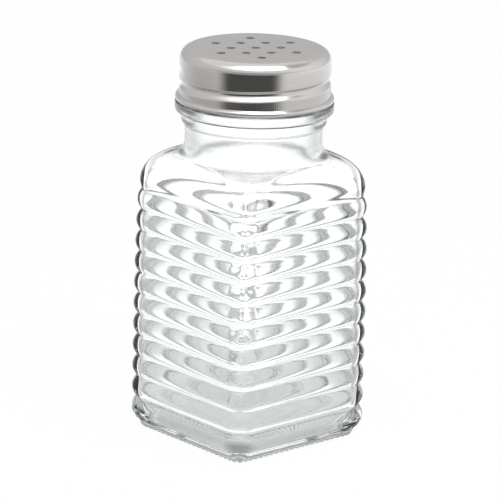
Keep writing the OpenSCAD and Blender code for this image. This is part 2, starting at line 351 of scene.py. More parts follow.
def filleted(corners, steps=6):
    """Outline through corners of (radius, height, rounding), with each corner rounded."""
    path = []
    for i, (x, z, rounding) in enumerate(corners):
        here = Vector((x, z))
        if rounding == 0.0 or i in (0, len(corners) - 1):
            path.append(here)
            continue
        back = (Vector(corners[i - 1][:2]) - here).normalized()
        ahead = (Vector(corners[i + 1][:2]) - here).normalized()
        half = back.angle(ahead) / 2
        reach = rounding / math.tan(half)
        middle = here + (back + ahead).normalized() * (rounding / math.sin(half))
        start = here + back * reach - middle
        sweep = start.angle_signed(here + ahead * reach - middle)
        for k in range(steps + 1):
            path.append(middle + Matrix.Rotation(-sweep * k / steps, 2) @ start)
    return path


def ease(t):
    """Smooth step from 0 to 1."""
    t = min(1.0, max(0.0, t))
    return t * t * (3 - 2 * t)


def soft_least(a, b, width):
    """The smaller of two values, with a soft change from one to the other."""
    near = max(width - abs(a - b), 0.0) / width
    return min(a, b) - near * near * width / 4


def turned_object(name, rows, steps, closed):
    """Turned mesh through rows of (radius, height, function that adds to the radius)."""
    points = []
    for radius, z, swell in rows:
        for k in range(steps):
            angle = math.tau * k / steps - math.pi
            r = radius + (swell(angle, z) if swell else 0.0)
            points.append((r * math.cos(angle), r * math.sin(angle), z))
    count = len(rows)
    faces = []
    for i in range(count if closed else count - 1):
        for k in range(steps):
            a, b = i * steps, (i + 1) % count * steps
            n = (k + 1) % steps
            faces.append((a + k, a + n, b + n, b + k))
    if not closed:
        faces.append(tuple(range(steps))[::-1])
        faces.append(tuple((count - 1) * steps + k for k in range(steps)))
    return new_object(name, points, faces)


# The screw thread


class ThreadForm(NamedTuple):
    """Section of a thread: half its flat, and the reach of its feet above and below."""

    flat: float
    above: float
    below: float


BEAD_FORM = ThreadForm(flat=0.4 * MM, above=1.0 * MM, below=1.0 * MM)
GROOVE_FORM = ThreadForm(flat=0.2 * MM, above=0.95 * MM, below=1.9 * MM)
RIDGE_FORM = ThreadForm(flat=0.4 * MM, above=1.2 * MM, below=1.5 * MM)
THREAD_FADE = 0.08  # share of its length over which a thread fades out at each end


def thread_share(cap, form, start_z, angle, z):
    """How much of a helical thread's height there is in a direction and at a height."""
    most = 0.0
    whole = math.tau * cap.thread_turns
    along = (angle - cap.thread_start) % math.tau
    while along <= whole:
        away = z - start_z - cap.thread_pitch * along / math.tau
        foot = form.above if away > 0 else form.below
        fade = min(1.0, min(along, whole - along) / (THREAD_FADE * whole))
        most = max(most, ease((foot - abs(away)) / (foot - form.flat)) * fade)
        along += math.tau
    return most


def thread_swell(cap, form, start_z, height):
    """Function of a direction and a height that gives what a thread adds to the radius."""
    return lambda angle, z: height * thread_share(cap, form, start_z, angle, z)


# The glass jar


class Level(NamedTuple):
    """One level of the glass: a square of corner centres, an offset from it and a height."""

    centre: float
    offset: float
    z: float
    rib_phase: float = 0.0
    rib_mask: float = 0.0
    wave_mask: float = 0.0
    bar_mask: float = 0.0
    seam: float = 0.0
    point: float = 0.0
    warp: float = 0.0
    swell: Optional[Callable] = None


# Fineness of the mesh, with rows as shares of a rib, the heel or the shoulder's foot
CORNER_STEPS = 24
BAR_STEPS = 6
HEEL_STEPS = 6
FLOOR_STEPS = 14
NECK_STEPS = 5
FINISH_STEPS = 34
RIB_ROWS = (-0.5, -0.465, -0.41, -0.33, -0.24, -0.12, 0.0, 0.12, 0.24, 0.33, 0.41, 0.465)
TOP_ROWS = (*RIB_ROWS[:10], 0.4)
HEEL_ROWS = (0.1, 0.4, 0.7)
SHOULDER_ROWS = (0.0, 0.1, 0.25, 0.4, 0.55, 0.7, 0.85)
ROW_GAP = 0.02 * MM  # between the end of one run of rows and the start of the next
ROW_CLEAR = 0.3 * MM  # between the inner waves and the floor's or the dome's rows

# Forms of the glass
LEAST_FLAT = 0.02 * MM  # flat side left on a round level
MOULD_EDGE = 0.25 * MM  # rounding of small moulded edges
EDGE_MIDDLE = 0.3  # how far in a rounded edge's middle lies, as a share of its rounding
CORNER_SOFT = 1.6 * MM  # how softly the heel's corners are cut
CORNER_SPARE = 0.15 * MM  # how far that cut clears the corners at the heel's top
CORNER_WAVE = 0.45  # how much higher the inner waves are in the corners
WARP_SIZE = 3.5 * MM  # size of the unevenness inside
DRAW_POWER = 4  # how late the ribs start to draw in
TOP_RIB_END = 0.434  # where the top rib ends above its middle, as a share of the pitch
BULGE_BELOW = 2.6 * MM  # reach of the shoulder's swelling under its fullest height
BULGE_ABOVE = 5.0 * MM  # its reach above
DOME_POWER = 3.2  # how square the dome's curve is
DOME_CROWDING = 1.7  # how closely the dome's rows lie at its foot
FOOT_PULL = 1.6  # how strongly the neck's fillet starts along the dome
NECK_PULL = 1.8  # how strongly it ends upright
BAND_FOOT = 0.3 * MM  # stretch of the neck just under the band
BAND_FLARE = 0.4  # share of the neck's flare that is reached there
FINISH_FOOT = 0.8 * MM  # plain stretch of the finish above the ring
BORE_FOOT = 2.0 * MM  # height above the ring's foot at which the bore ends
BORE_TAPER = 0.3 * MM  # how much narrower the neck is inside than the mouth


def jar_plan(jar):
    """Heights and offsets that follow from the jar's sizes."""
    p = SimpleNamespace()
    p.centre = jar.body_width / 2 - jar.corner_radius
    p.valley = jar.corner_radius - jar.rib_depth
    p.shoulder = p.valley - jar.shoulder_inset
    p.base = p.valley - jar.heel_inset
    p.half = p.centre + p.shoulder
    p.inner_half = p.half - jar.wall
    p.inner_centre = p.inner_half - jar.inner_corner
    p.shoulder_z = jar.heel_height + jar.rib_count * jar.rib_pitch
    p.dome_z = p.shoulder_z + jar.shoulder_rise
    p.dome = dome_curve(jar, jar.fillet_foot, jar.neck_fillet)
    p.inner_dome = dome_curve(jar, jar.inner_foot, jar.inner_fillet)
    p.neck_z = p.dome_z + p.dome[-1][1]
    p.ring_z = p.dome_z + jar.ring_rise
    p.band_z = p.ring_z - jar.band_height
    p.finish_z = p.ring_z + jar.ring_height
    p.lip_z = jar_high.z
    p.inner_neck = jar.bore_radius - BORE_TAPER
    return p


def dome_curve(jar, foot, fillet, dome_steps=26, fillet_steps=14):
    """The shoulder's curve from the body to the neck, as pairs of share and height.

    The fillet starts at the share foot, in line with the dome, and ends upright.
    """
    last = math.acos(foot)
    power = 2 / DOME_POWER
    curve = []
    for k in range(dome_steps + 1):
        a = last * (k / dome_steps) ** DOME_CROWDING
        curve.append((math.cos(a), jar.dome_height * math.sin(a) ** power))
    run = FOOT_PULL * foot
    climb = run * foot * jar.dome_height * power * math.sin(last) ** (power - 2)
    for k in range(1, fillet_steps + 1):
        t = k / fillet_steps
        done, start, end = t * t * (3 - 2 * t), t * (1 - t) ** 2, t * t * (t - 1)
        rise = climb * start + fillet * (done + NECK_PULL * end)
        curve.append((max(foot * (1 - done) - run * start, 0.0), curve[dome_steps][1] + rise))
    return curve


def blend_level(s, z, half, centre, round_radius):
    """A level between the round neck (s = 0) and the square body (s = 1)."""
    flat = max(centre * s, LEAST_FLAT)
    return Level(flat, round_radius + (half - round_radius) * s - flat, z)


def round_level(radius, z, swell=None):
    """A round level."""
    return Level(LEAST_FLAT, radius - LEAST_FLAT, z, swell=swell)


def base_levels(jar, plan):
    """Levels of the underside, from the recess over the barred rim to the bottom edge."""
    centre = plan.centre + plan.base - jar.rim_width - jar.corner_radius
    soft, middle = MOULD_EDGE, EDGE_MIDDLE * MOULD_EDGE
    rows = [
        Level(centre, jar.corner_radius + out, z, bar_mask=mask)
        for out, z, mask in (
            (-2 * soft, jar.recess_depth, 0.0),
            (-middle, jar.recess_depth - middle, 0.0),
            (0.0, jar.recess_depth - soft, 0.0),
            (0.0, soft, 0.3),
            (middle, middle, 0.8),
            (soft, 0.0, 1.0),
        )
    ]
    edge = jar.heel_rounding
    for k in range(HEEL_STEPS + 1):
        a = math.pi / 2 * (1 - k / HEEL_STEPS)
        out, up = math.cos(a), math.sin(a)
        level = Level(plan.centre, plan.base - edge + edge * out, edge * (1 - up), bar_mask=up)
        rows.append(level._replace(point=jar.heel_point))
    return rows


def wall_levels(jar, plan):
    """Levels of the heel and the wall, up to the top rib. The ribs are still flat."""
    rows = []
    edge = jar.heel_rounding
    for t in HEEL_ROWS:
        rise = edge + (jar.heel_height - edge) * t
        offset = plan.base + (plan.valley - plan.base) * t
        rows.append(Level(plan.centre, offset, rise, point=jar.heel_point * (1 - t)))
    last = jar.rib_count - 1
    for i in range(jar.rib_count):
        for t in TOP_ROWS if i == last else RIB_ROWS:
            drawn = jar.top_draw * max(0.0, min(1.0, (i + t) / last)) ** DRAW_POWER
            z = jar.heel_height + (i + 0.5 + t) * jar.rib_pitch
            rows.append(Level(plan.centre, plan.valley - drawn, z, t, 1.0, seam=jar.seam_rise))
    return rows


def shoulder_levels(jar, plan):
    """Levels of the shoulder, from the top rib over the dome to the foot of the neck."""
    foot_z = jar.heel_height + (jar.rib_count - 0.5 + TOP_RIB_END) * jar.rib_pitch

    def bulge(z):
        away = z - foot_z - BULGE_BELOW
        reach = BULGE_ABOVE if away > 0 else BULGE_BELOW
        return jar.shoulder_bulge * ease(1 - abs(away) / reach)

    rows = []
    for t in SHOULDER_ROWS:
        rows.append(Level(plan.centre, plan.shoulder, foot_z + (plan.dome_z - foot_z) * t))
    for s, rise in plan.dome:
        rows.append(blend_level(s, plan.dome_z + rise, plan.half, plan.centre, jar.finish_radius))
    return [row._replace(offset=row.offset + bulge(row.z), seam=jar.seam_rise) for row in rows]


def neck_levels(jar, cap, plan):
    """Levels of the neck, the plain band, the glass ring and the threaded finish."""
    rows = []
    foot_z = plan.band_z - BAND_FOOT
    ring_middle = plan.ring_z + jar.ring_height / 2
    for k in range(1, NECK_STEPS + 1):
        z = plan.neck_z + (foot_z - plan.neck_z) * k / NECK_STEPS
        t = (z - plan.neck_z) / (ring_middle - plan.neck_z)
        rows.append(round_level(jar.finish_radius + jar.neck_flare * t * t, z))
    neck = jar.finish_radius + jar.neck_flare * BAND_FLARE
    band = jar.finish_radius + jar.neck_flare + jar.band_over
    start, top = plan.finish_z + FINISH_FOOT, plan.lip_z - jar.lip_rounding
    outline = filleted(
        [
            (neck, foot_z + ROW_GAP, 0.0),
            (neck, plan.band_z, MOULD_EDGE),
            (band, plan.band_z, MOULD_EDGE),
            (band, plan.ring_z, MOULD_EDGE),
            (jar.ring_radius, plan.ring_z, jar.ring_rounding),
            (jar.ring_radius, plan.finish_z, MOULD_EDGE),
            (jar.finish_radius, plan.finish_z, MOULD_EDGE),
            (jar.finish_radius, start, 0.0),
        ]
    )
    rows += [round_level(p.x, p.y) for p in outline]
    bead = thread_swell(cap, BEAD_FORM, cap.bead_height, jar.bead_rise)
    for k in range(1, FINISH_STEPS):
        rows.append(round_level(jar.finish_radius, start + (top - start) * k / FINISH_STEPS, bead))
    return rows


def inner_levels(jar, plan):
    """Levels of the lip and the inside, from the lip down to the floor."""
    lip = filleted(
        [
            (jar.finish_radius, plan.lip_z - jar.lip_rounding - ROW_GAP, 0.0),
            (jar.finish_radius, plan.lip_z, jar.lip_rounding),
            (jar.bore_radius, plan.lip_z, jar.lip_rounding),
            (jar.bore_radius, plan.ring_z + BORE_FOOT, 0.0),
        ]
    )
    rows = [round_level(p.x, p.y) for p in lip]
    top = plan.dome_z - jar.crown
    for s, rise in reversed(plan.inner_dome):
        rows.append(blend_level(s, top + rise, plan.inner_half, plan.inner_centre, plan.inner_neck))
    low = jar.floor_thickness + jar.floor_fillet
    for i in reversed(range(jar.rib_count)):
        for t in reversed(RIB_ROWS):
            z = jar.heel_height + (i + 0.5 + t) * jar.rib_pitch
            if low + ROW_CLEAR < z < top - ROW_CLEAR:
                calm = ease((z - low) / jar.rib_pitch)
                level = Level(plan.inner_centre, jar.inner_corner, z, t, wave_mask=calm)
                rows.append(level._replace(warp=jar.inner_warp))
    for k in range(FLOOR_STEPS + 1):
        a = math.pi / 2 * (1 - k / FLOOR_STEPS)
        t = 1 - math.sin(a)
        z = jar.floor_thickness + jar.floor_fillet * (1 - math.cos(a))
        corner = jar.inner_corner + (jar.floor_corner - jar.inner_corner) * t
        rows.append(Level(plan.inner_half - jar.floor_fillet * t - corner, corner, z))
    return rows


def ring_points(level, flats):
    """Points of one level with their outward directions; each flat side has so many stretches."""
    found = []
    for q in range(4):
        m = math.pi / 2 * q + math.pi / 4
        cx = math.copysign(level.centre, math.cos(m))
        cy = math.copysign(level.centre, math.sin(m))
        for k in range(CORNER_STEPS + 1):
            a = math.pi / 2 * (q + k / CORNER_STEPS)
            ux, uy = math.cos(a), math.sin(a)
            r = level.offset + (level.swell(a, level.z) if level.swell else 0.0)
            if q % 2 == 1:
                power = 2 + level.point
                r *= (abs(ux) ** power + abs(uy) ** power) ** (-1 / power)
                r += level.seam if k == CORNER_STEPS // 2 else 0.0
            if level.warp:
                spot = Vector((cx + r * ux, cy + r * uy, level.z)) / WARP_SIZE
                r += level.warp * math.sin(math.pi * k / CORNER_STEPS) * noise.noise(spot)
            found.append((cx + r * ux, cy + r * uy, ux, uy))
        end = math.pi / 2 * (q + 1)
        along = Vector((-math.sin(end), math.cos(end))) * 2 * level.centre
        x, y, ux, uy = found[-1]
        for k in range(1, flats):
            found.append((x + along.x * k / flats, y + along.y * k / flats, ux, uy))
    return found


def corner_limit(jar, plan, z):
    """Largest distance from the axis in the heel, where the corners are rounded off."""
    reach = plan.centre * math.sqrt(2)
    low = reach + plan.base - jar.heel_corner_cut
    high = reach + plan.valley + CORNER_SPARE
    return low + (high - low) * z / jar.heel_height


def bar_phases(jar, plan, flats):
    """How many bars lie before each point of a fine level, counted along the rim."""
    corner, flat = math.pi / 2 * plan.base, 2 * plan.centre
    side = corner + flat
    bars = round(side / jar.bar_pitch)
    places = [corner * k / CORNER_STEPS for k in range(CORNER_STEPS)]
    places += [corner + flat * k / flats for k in range(flats)]
    return [(q + place / side) * bars for q in range(4) for place in places]


def skin_faces(starts, flats):
    """Faces between levels that start at the given points, and over the first and the last."""
    faces = []
    for a, b, end in zip(starts, starts[1:], starts[2:]):
        n, m = b - a, end - b
        if n == m:
            faces += [(a + j, a + (j + 1) % n, b + (j + 1) % n, b + j) for j in range(n)]
            continue
        for q in range(4):
            low, up = q * (CORNER_STEPS + flats), q * (CORNER_STEPS + 1)
            for k in range(CORNER_STEPS):
                faces.append((a + low + k, a + low + k + 1, b + up + k + 1, b + up + k))
            wide = [a + (low + CORNER_STEPS + k) % n for k in range(flats + 1)]
            faces.append((*wide, b + (up + CORNER_STEPS + 1) % m, b + up + CORNER_STEPS))
    first, last = range(starts[0], starts[1]), range(starts[-2], starts[-1])
    return faces + [tuple(reversed(first)), tuple(last)]


def jar_skin(jar, cap, plan):
    """Points, faces and per-point values of the jar's closed skin, before ribs and bars."""
    flats = BAR_STEPS * round(2 * plan.centre / jar.bar_pitch)
    fine = base_levels(jar, plan)
    plain = wall_levels(jar, plan) + shoulder_levels(jar, plan)
    plain += neck_levels(jar, cap, plan) + inner_levels(jar, plan)
    phases = bar_phases(jar, plan, flats)
    points, outward, starts = [], [], []
    values = {name: [] for name in ("rib_phase", "rib_mask", "wave_mask", "bar_phase", "bar_mask")}
    for row, level in enumerate(fine + plain):
        starts.append(len(points))
        for j, (x, y, ux, uy) in enumerate(ring_points(level, flats if row < len(fine) else 1)):
            if level.z < jar.heel_height and x * y > 0:
                far = math.hypot(x, y)
                near = soft_least(far, corner_limit(jar, plan, level.z), CORNER_SOFT)
                x, y = x * near / far, y * near / far
            points.append((x, y, level.z))
            outward.extend((ux, uy, 0.0))
            hump = math.sin(math.pi * (j % (CORNER_STEPS + 1)) / CORNER_STEPS) ** 2
            values["rib_phase"].append(level.rib_phase)
            values["rib_mask"].append(level.rib_mask)
            values["wave_mask"].append(level.wave_mask * (1 + CORNER_WAVE * hump))
            values["bar_phase"].append(phases[j] if level.bar_mask else 0.0)
            values["bar_mask"].append(level.bar_mask)
    starts.append(len(points))
    return points, skin_faces(starts, flats), values, outward


def rib_tree():
    """Tree that raises the ribs of the wall and the bars under the rim from a plain skin."""
    sizes = ("Rib Pitch", "Rib Depth", "Valley Fill", "Valley Softness", "Inner Wave", "Bar Height")
    tree, given = new_tree("moulded_ribs", *sizes)
    calc = partial(math_node, tree)

    def stored(name, kind="FLOAT"):
        inputs = {"Name": name}
        node = add_node(tree, "GeometryNodeInputNamedAttribute", inputs, data_type=kind)
        return node.outputs["Attribute"]

    def wave(height, mask, phase, swing):
        full = calc("MULTIPLY", given[height], stored(mask))
        turned = calc("MULTIPLY", stored(phase), math.tau)
        return calc("MULTIPLY", full, calc("MULTIPLY_ADD", calc("COSINE", turned), swing, 0.5))

    depth, pitch = given["Rib Depth"], given["Rib Pitch"]
    half = calc("MULTIPLY", pitch, 0.5)
    chord = calc("MULTIPLY_ADD", half, half, calc("POWER", depth, 2.0))
    radius = calc("DIVIDE", chord, calc("MULTIPLY", depth, 2.0))
    away = calc("MULTIPLY", stored("rib_phase"), pitch)
    left = calc("SUBTRACT", calc("MULTIPLY", radius, radius), calc("MULTIPLY", away, away))
    arc = calc("SUBTRACT", calc("SQRT", left), calc("SUBTRACT", radius, depth))
    soft = calc("SMOOTH_MAX", arc, given["Valley Fill"], given["Valley Softness"])
    rib = calc("MULTIPLY", soft, stored("rib_mask"))
    push = calc("ADD", rib, wave("Inner Wave", "wave_mask", "rib_phase", 0.5))
    outward = {0: stored("outward", "FLOAT_VECTOR"), "Scale": push}
    swell = result(tree, "ShaderNodeVectorMath", outward, operation="SCALE")
    rise = joined(tree, Z=wave("Bar Height", "bar_mask", "bar_phase", -0.5))
    shift = vector_node(tree, "ADD", swell, rise)
    moved = {"Geometry": given["Geometry"], "Offset": shift}
    end_tree(tree, result(tree, "GeometryNodeSetPosition", moved), given["Material"])
    return tree


class SHAKER_OT_glass_jar(bpy.types.Operator):
    """Makes the ribbed glass jar with its neck, threaded finish and barred base rim"""

    bl_idname = "shaker.glass_jar"
    bl_label = "Glass jar"

    def execute(self, context):
        settings = context.scene.salt_shaker
        jar = settings.jar
        points, faces, values, outward = jar_skin(jar, settings.cap, jar_plan(jar))
        obj = new_object("ribbed_glass_jar", points, faces)
        for name, numbers in values.items():
            obj.data.attributes.new(name, "FLOAT", "POINT").data.foreach_set("value", numbers)
        store = obj.data.attributes.new("outward", "FLOAT_VECTOR", "POINT")
        store.data.foreach_set("vector", outward)
        sizes = {
            "Rib Pitch": jar.rib_pitch,
            "Rib Depth": jar.rib_depth,
            "Valley Fill": jar.valley_fill,
            "Valley Softness": jar.valley_soft,
            "Inner Wave": jar.inner_wave,
            "Bar Height": jar.bar_height,
            "Material": clear_glass(settings.finish),
        }
        run_tree(obj, rib_tree(), sizes)
        for name in (*values, "outward"):
            obj.data.attributes.remove(obj.data.attributes[name])
        smooth_shading(obj, degrees=120)
        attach(obj, "glass_jar")
        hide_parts("glass_jar")
        return {"FINISHED"}


# The liner and the steel cap

SKIRT_STEPS = 150
INSIDE_STEPS = 45
EDGE_STEPS = 12
CURL_STEPS = 24
BEND_STEPS = 8
CAP_STEPS = 240
LINER_STEPS = 96
LINER_ROUNDING = 0.2 * MM
LINER_BRIM = 0.05 * MM  # rounding of the liner's thin outer edge
LINER_JOIN = 0.01 * MM  # between the first and the last row of the liner
DISC_STEP = 0.5 * MM  # row on the flat top, inside the rounded edge
CURL_START = 98  # direction in which the curled hem leaves the skirt, in degrees
CURL_TOP = 1.08  # height at which the skirt ends above the hem's middle, in hem radii
PUNCH_REACH = 4.0  # length of the punch in thicknesses of the sheet
KNURL_GAP = 0.1 * MM  # between the hem and the knurl


class SHAKER_OT_liner_ring(bpy.types.Operator):
    """Makes the soft liner ring between the glass lip and the cap"""

    bl_idname = "shaker.liner_ring"
    bl_label = "Liner ring"

    def execute(self, context):
        settings = context.scene.salt_shaker
        cap = settings.cap
        low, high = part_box("cap_liner")
        middle = (low.z + high.z) / 2
        outline = filleted(
            [
                (cap.liner_inner, middle, 0.0),
                (cap.liner_inner, low.z, LINER_ROUNDING),
                (cap.liner_outer, low.z, LINER_BRIM),
                (cap.liner_outer, low.z + cap.liner_edge, LINER_BRIM),
                (cap.liner_top, high.z, LINER_ROUNDING),
                (cap.liner_inner, high.z, LINER_ROUNDING),
                (cap.liner_inner, middle + LINER_JOIN, 0.0),
            ],
            steps=4,
        )
        rows = [(p.x, p.y, None) for p in outline]
        obj = turned_object("liner_ring", rows, LINER_STEPS, closed=True)
        obj.data.materials.append(liner_plastic(settings.finish))
        smooth_shading(obj, degrees=35)
        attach(obj, "cap_liner")
        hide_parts("cap_liner")
        return {"FINISHED"}


def arc_rows(x, z, radius, start, end, steps):
    """Plain rows along an arc between two angles in degrees."""
    rows = []
    for k in range(steps + 1):
        a = math.radians(start + (end - start) * k / steps)
        rows.append((x + radius * math.cos(a), z + radius * math.sin(a), None))
    return rows


def upright_rows(radius, start, end, steps, swell):
    """Rows straight up or down from one height, which is left out, to another."""
    return [(radius, start + (end - start) * k / steps, swell) for k in range(1, steps + 1)]


def cap_rows(cap):
    """Rows of the cap's sheet, from the underside over the hem and the skirt to the top."""
    top = cap_high.z
    skirt, inner = cap.skirt_radius, cap.skirt_radius - cap.sheet
    disc, edge_z = skirt - cap.edge_radius, top - cap.edge_radius
    curl_r = cap.curl_width / 2
    curl_x, curl_z = skirt + cap.curl_over - curl_r, cap_low.z + curl_r
    bend, bend_z = cap.inner_edge, top - cap.sheet - cap.inner_edge
    groove, ridge = (
        thread_swell(cap, form, cap.groove_height, -cap.groove_depth)
        for form in (GROOVE_FORM, RIDGE_FORM)
    )
    downwards = [
        (disc - DISC_STEP, top, None),
        *arc_rows(disc, edge_z, cap.edge_radius, 90, 0, EDGE_STEPS),
        *upright_rows(skirt, edge_z, curl_z + curl_r * CURL_TOP, SKIRT_STEPS, groove),
        *arc_rows(curl_x, curl_z, curl_r, CURL_START, -180, CURL_STEPS),
        *upright_rows(inner, curl_z, bend_z, INSIDE_STEPS, ridge),
        *arc_rows(inner - bend, bend_z, bend, 0, 90, BEND_STEPS)[1:],
        (disc - DISC_STEP, top - cap.sheet, None),
    ]
    return downwards[::-1]


def hole_tree():
    """Tree that punches the pour holes: one in the middle and two rings of six."""
    tree, given = new_tree("pour_holes", "Hole Width", "Hole Pitch", "Hole Turn", "Sheet", "Top")
    calc = partial(math_node, tree)
    spots = add_node(tree, "GeometryNodeJoinGeometry")
    for reach, turned in ((1.0, 0.0), (math.sqrt(3), math.radians(30))):
        radius = calc("MULTIPLY", given["Hole Pitch"], reach)
        ring = result(tree, "GeometryNodeMeshCircle", {"Vertices": 6, "Radius": radius})
        angle = joined(tree, Z=calc("ADD", given["Hole Turn"], turned))
        placed = result(tree, "GeometryNodeTransform", {"Geometry": ring, "Rotation": angle})
        tree.links.new(placed, spots.inputs[0])
    tree.links.new(result(tree, "GeometryNodeMeshLine", {"Count": 1}), spots.inputs[0])
    lift = {"Geometry": spots.outputs[0], "Offset": joined(tree, Z=given["Top"])}
    raised = result(tree, "GeometryNodeSetPosition", lift)
    sizes = {
        "Vertices": 36,
        "Radius": calc("MULTIPLY", given["Hole Width"], 0.5),
        "Depth": calc("MULTIPLY", given["Sheet"], PUNCH_REACH),
    }
    punch = result(tree, "GeometryNodeMeshCylinder", sizes)
    placed = result(tree, "GeometryNodeInstanceOnPoints", {"Points": raised, "Instance": punch})
    solid = result(tree, "GeometryNodeRealizeInstances", {"Geometry": placed})
    cut = result(
        tree,
        "GeometryNodeMeshBoolean",
        {"Mesh 1": given["Geometry"], "Mesh 2": solid},
        operation="DIFFERENCE",
        solver="EXACT",
    )
    end_tree(tree, cut, given["Material"])
    return tree


class SHAKER_OT_steel_cap(bpy.types.Operator):
    """Makes the drawn steel cap with its rolled groove, curled hem and pour holes"""

    bl_idname = "shaker.steel_cap"
    bl_label = "Steel cap"

    def execute(self, context):
        settings = context.scene.salt_shaker
        cap = settings.cap
        obj = turned_object("steel_cap", cap_rows(cap), CAP_STEPS, closed=False)
        sizes = {
            "Hole Width": cap.hole_width,
            "Hole Pitch": cap.hole_pitch,
            "Hole Turn": cap.hole_turn,
            "Sheet": cap.sheet,
            "Top": cap_high.z,
            "Material": spun_steel(settings.finish),
        }
        run_tree(obj, hole_tree(), sizes)
        smooth_shading(obj, degrees=32)
        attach(obj, "shaker_cap")
        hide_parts("shaker_cap")
        return {"FINISHED"}


def knurl_tree():
    """Tree that sets fine upright bars round the skirt, between the hem and the groove."""
    sizes = ("Bar Radius", "Place Radius", "Foot", "Groove", "Start", "Pitch")
    tree, given = new_tree("fine_knurl", *sizes, counts=("Count",))
    calc = partial(math_node, tree)
    points = result(tree, "GeometryNodePoints", {"Count": given["Count"]})
    part = calc("DIVIDE", result(tree, "GeometryNodeInputIndex"), given["Count"])
    angle = calc("MULTIPLY_ADD", part, math.tau, given["Start"])
    top = calc("MULTIPLY_ADD", part, given["Pitch"], given["Groove"])
    tall = calc("SUBTRACT", top, given["Foot"])
    place = joined(
        tree,
        X=calc("MULTIPLY", calc("COSINE", angle), given["Place Radius"]),
        Y=calc("MULTIPLY", calc("SINE", angle), given["Place Radius"]),
        Z=calc("MULTIPLY_ADD", tall, 0.5, given["Foot"]),
    )
    shape = {"Vertices": 10, "Radius": given["Bar Radius"], "Depth": 1.0}
    bars = {
        "Points": result(tree, "GeometryNodeSetPosition", {"Geometry": points, "Position": place}),
        "Instance": result(tree, "GeometryNodeMeshCylinder", shape),
        "Rotation": joined(tree, Z=angle),
        "Scale": joined(tree, X=1.0, Y=1.0, Z=tall),
    }
    end_tree(tree, result(tree, "GeometryNodeInstanceOnPoints", bars), given["Material"])
    return tree


class SHAKER_OT_cap_knurl(bpy.types.Operator):
    """Makes the fine knurl on the cap's lower band"""

    bl_idname = "shaker.cap_knurl"
    bl_label = "Cap knurl"

    def execute(self, context):
        settings = context.scene.salt_shaker
        cap = settings.cap
        obj = new_object("cap_knurl", [(0, 0, cap_low.z)], [])
        sizes = {
            "Count": cap.knurl_count,
            "Bar Radius": cap.knurl_radius,
            "Place Radius": cap.skirt_radius + cap.knurl_rise - cap.knurl_radius,
            "Foot": cap_low.z + cap.curl_width + KNURL_GAP,
            "Groove": cap.groove_height - GROOVE_FORM.below,
            "Start": cap.thread_start,
            "Pitch": cap.thread_pitch,
            "Material": bpy.data.materials.get("spun_steel") or spun_steel(settings.finish),
        }
        run_tree(obj, knurl_tree(), sizes)
        smooth_shading(obj, degrees=60)
        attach(obj, "shaker_cap")
        return {"FINISHED"}


# Finishes

GRAIN_STEP = (0.3, 0.7)  # part of the noise that the grain uses
GLASS_IOR = 1.5
GLASS_DENSITY = 14.0
STIPPLE_STEP = (0.75 * MM, 1.1 * MM)  # heights between which the stippled underside ends
STIPPLE_ROUGH = 0.55
NECK_STEP = (69.0 * MM, 72.5 * MM)  # heights between which the neck's softer glass starts
NECK_ROUGH = 0.16
# The steel inside these bounds is also darkened, which is painted shade.
PUNCH_SHADE_BELOW = 0.05 * MM  # how far under the top the punched steel starts
PUNCH_SHADE_RADIUS = 15.0 * MM  # how far from the axis it reaches
PUNCH_ROUGH = 0.8
BLOTCH_SHARE = 0.6  # how much the blotches count against the fine lines


def grain_group():
    """Shader group for uneven surfaces: a soft grain as a mask, and between two values."""
    name = "uneven_grain"
    if name in bpy.data.node_groups:
        return bpy.data.node_groups[name]
    inputs = {"Vector": "Vector", **dict.fromkeys(("Scale", "Detail", "Low", "High"), "Float")}
    outputs = {"Mask": "Float", "Value": "Float"}
    tree, given = new_group(name, "ShaderNodeTree", inputs, outputs)
    pattern = {label: given[label] for label in ("Vector", "Scale", "Detail")}
    mask = ranged(tree, result(tree, "ShaderNodeTexNoise", pattern), *GRAIN_STEP)
    value = ranged(tree, mask, 0.0, 1.0, given["Low"], given["High"])
    add_node(tree, "NodeGroupOutput", {"Mask": mask, "Value": value})
    return tree


def new_material(name):
    """Empty node material with its output, Principled shader and Object coordinates."""
    material = bpy.data.materials.new(name)
    material.use_nodes = True
    tree = material.node_tree
    tree.nodes.clear()
    shader = add_node(tree, "ShaderNodeBsdfPrincipled")
    output = add_node(tree, "ShaderNodeOutputMaterial", {"Surface": shader.outputs[0]})
    place = add_node(tree, "ShaderNodeTexCoord").outputs["Object"]
    return material, tree, shader, output, place


def uneven(tree, vector, scale, detail, low=0.0, high=1.0):
    """Mask and value of the uneven grain, placed in a material with its own values."""
    values = {"Vector": vector, "Scale": scale, "Detail": detail, "Low": low, "High": high}
    node = add_node(tree, "ShaderNodeGroup", values, node_tree=grain_group())
    return node.outputs["Mask"], node.outputs["Value"]


def mixed(tree, mask, first, second):
    """Colour between two colours by a mask."""
    inputs = {0: mask, 6: first, 7: second}
    return add_node(tree, "ShaderNodeMix", inputs, data_type="RGBA").outputs[2]


def blended(tree, share_of, first, second):
    """Value between two values."""
    return result(tree, "ShaderNodeMix", {0: share_of, 2: first, 3: second}, data_type="FLOAT")


def bump(tree, height, strength, distance):
    """Normal from a height."""
    inputs = {"Height": height, "Strength": strength, "Distance": distance}
    return result(tree, "ShaderNodeBump", inputs)


